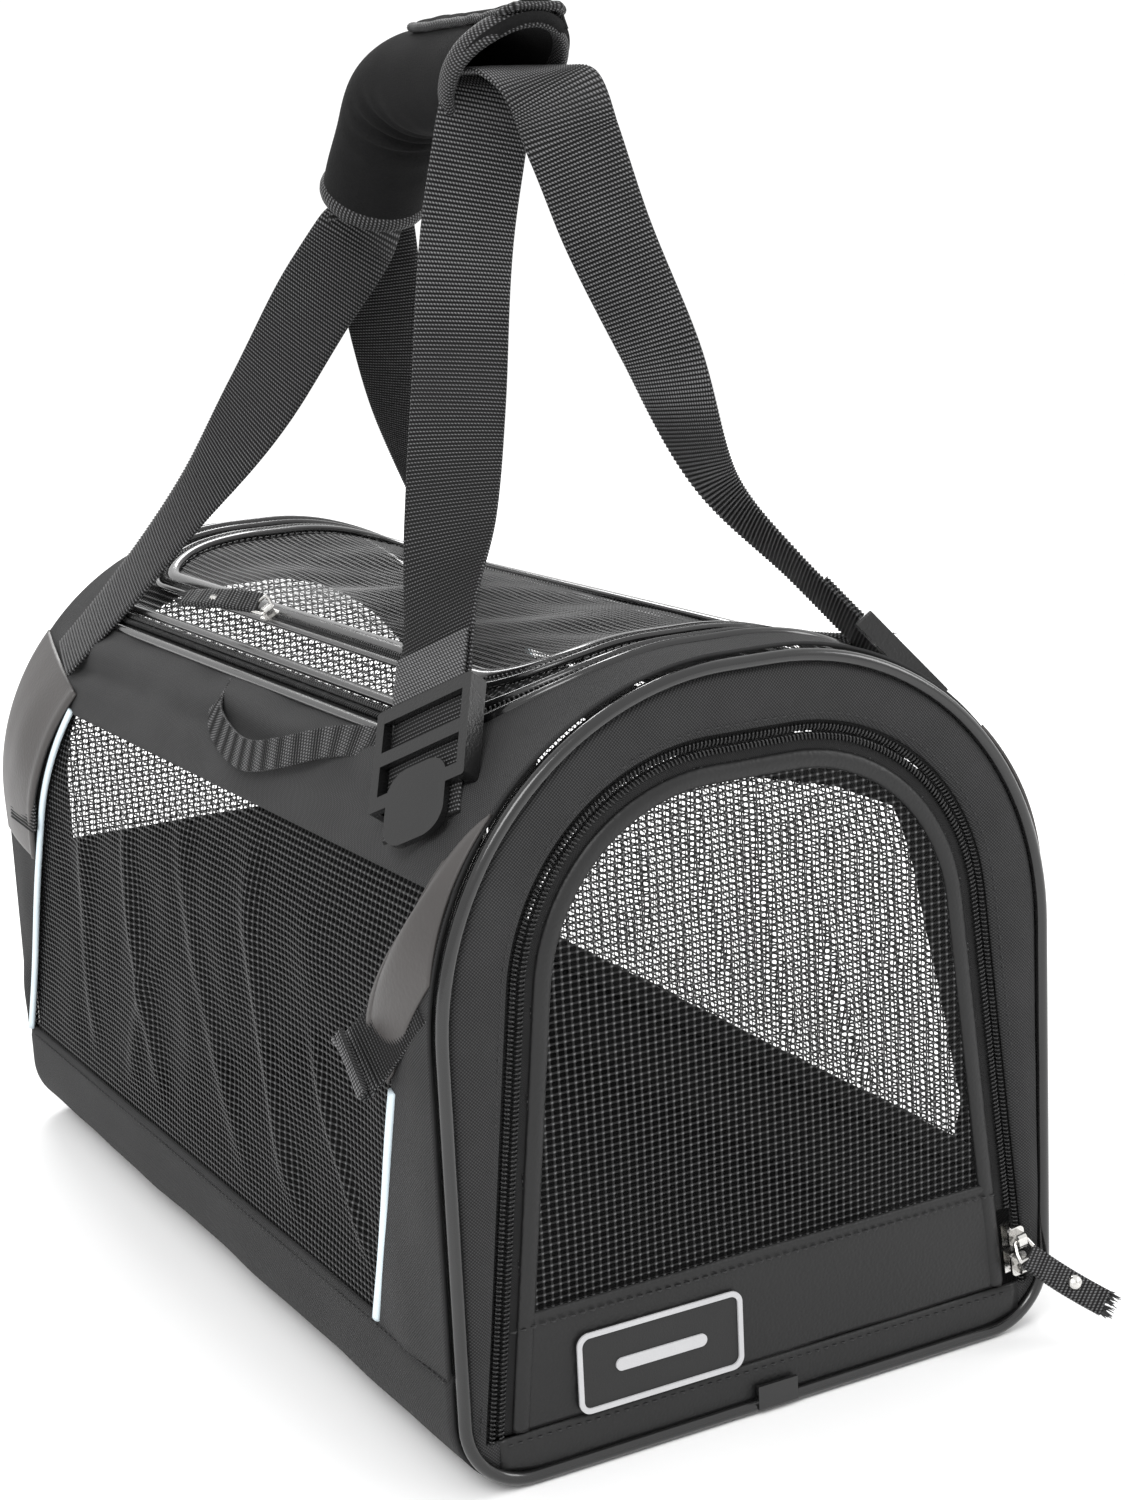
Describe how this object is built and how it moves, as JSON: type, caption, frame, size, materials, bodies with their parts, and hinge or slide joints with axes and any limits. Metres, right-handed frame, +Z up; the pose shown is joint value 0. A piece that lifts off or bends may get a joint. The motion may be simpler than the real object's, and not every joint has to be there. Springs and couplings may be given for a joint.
{
  "type": "pet carrier bag",
  "caption": "Soft-sided arched pet carrier bag with net windows, a zipped end door, a zipped top flap, webbing straps and a wrapped carry grip.",
  "frame": {"origin": "middle of the flat underside, on the surface the bag stands on", "axes": "+X across the bag to its right as seen from the door, -Y out of the door end, +Z up"},
  "size_m": [0.2839, 0.5214, 0.5335],
  "materials": {
    "shell_fabric": "coarse plain-weave polyester, matt",
    "net": "open black polyester net",
    "reflective": "pale reflective piping",
    "piping_vinyl": "glossy black vinyl",
    "spring_wire": "coated spring wire",
    "zip": "nylon coil on herringbone tape",
    "board": "plain stiffener board",
    "mat_fleece": "soft brushed cover",
    "webbing": "ribbed polyester webbing",
    "leatherette": "smooth leatherette with a soft sheen",
    "badge_rubber": "moulded rubber",
    "badge_grey": "moulded light grey rubber",
    "zip_metal": "bright nickel",
    "grip_neoprene": "soft padded cover",
    "lock_plastic": "moulded acetal, satin"
  },
  "bodies": {
    "bag": {"base_panel": "shell_fabric", "base_band_left": "shell_fabric", "base_band_right": "shell_fabric", "side_mesh_left": "net", "side_mesh_right": "net", "corner_panel_front_left": "shell_fabric", "corner_panel_front_right": "shell_fabric", "corner_panel_back_left": "shell_fabric", "corner_panel_back_right": "shell_fabric", "shoulder_band_left": "shell_fabric", "shoulder_band_right": "shell_fabric", "top_bridge_front": "shell_fabric", "top_bridge_back": "shell_fabric", "reflective_piping": "reflective", "front_panel": "shell_fabric", "front_piping": "piping_vinyl", "back_piping": "piping_vinyl", "front_hoop": "spring_wire", "back_hoop": "spring_wire", "back_panel": "shell_fabric", "back_mesh": "net", "piping_join": "piping_vinyl", "door_zip_frame_side": "zip", "base_board": "board", "padded_mat": "mat_fleece", "top_zip_outer_tape": "zip", "top_zip_inner_tape": "zip", "top_gusset": "net", "strap_front_left": "webbing", "strap_front_right": "webbing", "strap_back_left": "webbing", "strap_back_right": "webbing", "strap_tails_front": "webbing", "strap_tails_back": "webbing", "strap_sleeve_front_left": "leatherette", "strap_sleeve_front_right": "leatherette", "strap_sleeve_back_left": "leatherette", "strap_sleeve_back_right": "leatherette"},
    "door": {"door_zip_door_side": "zip", "door_binding": "piping_vinyl", "door_mesh": "net", "door_band": "leatherette", "badge": "badge_rubber", "badge_relief": "badge_grey"},
    "door_sliders": {"door_slider_lower": "zip_metal", "door_slider_upper": "zip_metal"},
    "door_pull": {"door_pull": "webbing"},
    "top_flap": {"top_flap_border": "zip", "top_flap_mesh": "net"},
    "flap_slider": {"flap_slider": "zip_metal"},
    "flap_pull": {"flap_pull": "webbing"},
    "top_slider": {"top_slider": "zip_metal"},
    "top_pull": {"top_pull": "webbing"},
    "grip": {"grip_wrap": "grip_neoprene", "grip_strap_left": "webbing", "grip_strap_right": "webbing", "grip_binding_back": "grip_neoprene"},
    "grip_flap": {"grip_flap": "grip_neoprene"},
    "ladder_lock_left": {"ladder_lock_left": "lock_plastic"},
    "ladder_lock_right": {"ladder_lock_right": "lock_plastic"}
  },
  "joints": [
    {"name": "door_hinge", "type": "hinge", "parent": "bag", "child": "door", "pos_m": [0, -0.2471, 0.02], "axis": [1, 0, 0], "range_deg": [0, 90]},
    {"name": "door_slider_run", "type": "slide", "parent": "bag", "child": "door_sliders", "axis": [-0.108, 0, 0.9942], "range_m": [0, 0.115]},
    {"name": "door_pull_swing", "type": "hinge", "parent": "door_sliders", "child": "door_pull", "pos_m": [0.11783, -0.2488, 0.04], "axis": [-0.9942, 0, -0.108], "range_deg": [0, 80]},
    {"name": "top_flap_hinge", "type": "hinge", "parent": "bag", "child": "top_flap", "pos_m": [0.07, 0, 0.28226], "axis": [0, 1, 0], "range_deg": [0, 45]},
    {"name": "flap_slider_run", "type": "slide", "parent": "top_flap", "child": "flap_slider", "axis": [0, -1, 0], "range_m": [0, 0.13]},
    {"name": "flap_pull_swing", "type": "hinge", "parent": "flap_slider", "child": "flap_pull", "pos_m": [-0.07147, 0.036, 0.28532], "axis": [0.8807, 0, 0.4736], "range_deg": [0, 80]},
    {"name": "top_slider_run", "type": "slide", "parent": "bag", "child": "top_slider", "axis": [0, 1, 0], "range_m": [0, 0.2]},
    {"name": "top_pull_swing", "type": "hinge", "parent": "top_slider", "child": "top_pull", "pos_m": [0.09359, -0.128, 0.2703], "axis": [-0.765, 0, 0.644], "range_deg": [0, 80]},
    {"name": "handle_drop", "type": "slide", "parent": "bag", "child": "grip", "axis": [0, 0, -1], "range_m": [0, 0.05], "deforming": ["strap_front_left", "strap_front_right", "strap_back_left", "strap_back_right"]},
    {"name": "grip_flap_hinge", "type": "hinge", "parent": "grip", "child": "grip_flap", "pos_m": [0.0134, 0, 0.5336], "axis": [0, 1, 0], "range_deg": [0, 90]},
    {"name": "lock_left_run", "type": "slide", "parent": "bag", "child": "ladder_lock_left", "axis": [0.4179, 0.5821, 0.6975], "range_m": [0, 0.022]},
    {"name": "lock_right_run", "type": "slide", "parent": "bag", "child": "ladder_lock_right", "axis": [-0.4179, 0.5821, 0.6975], "range_m": [0, 0.022]}
  ]
}
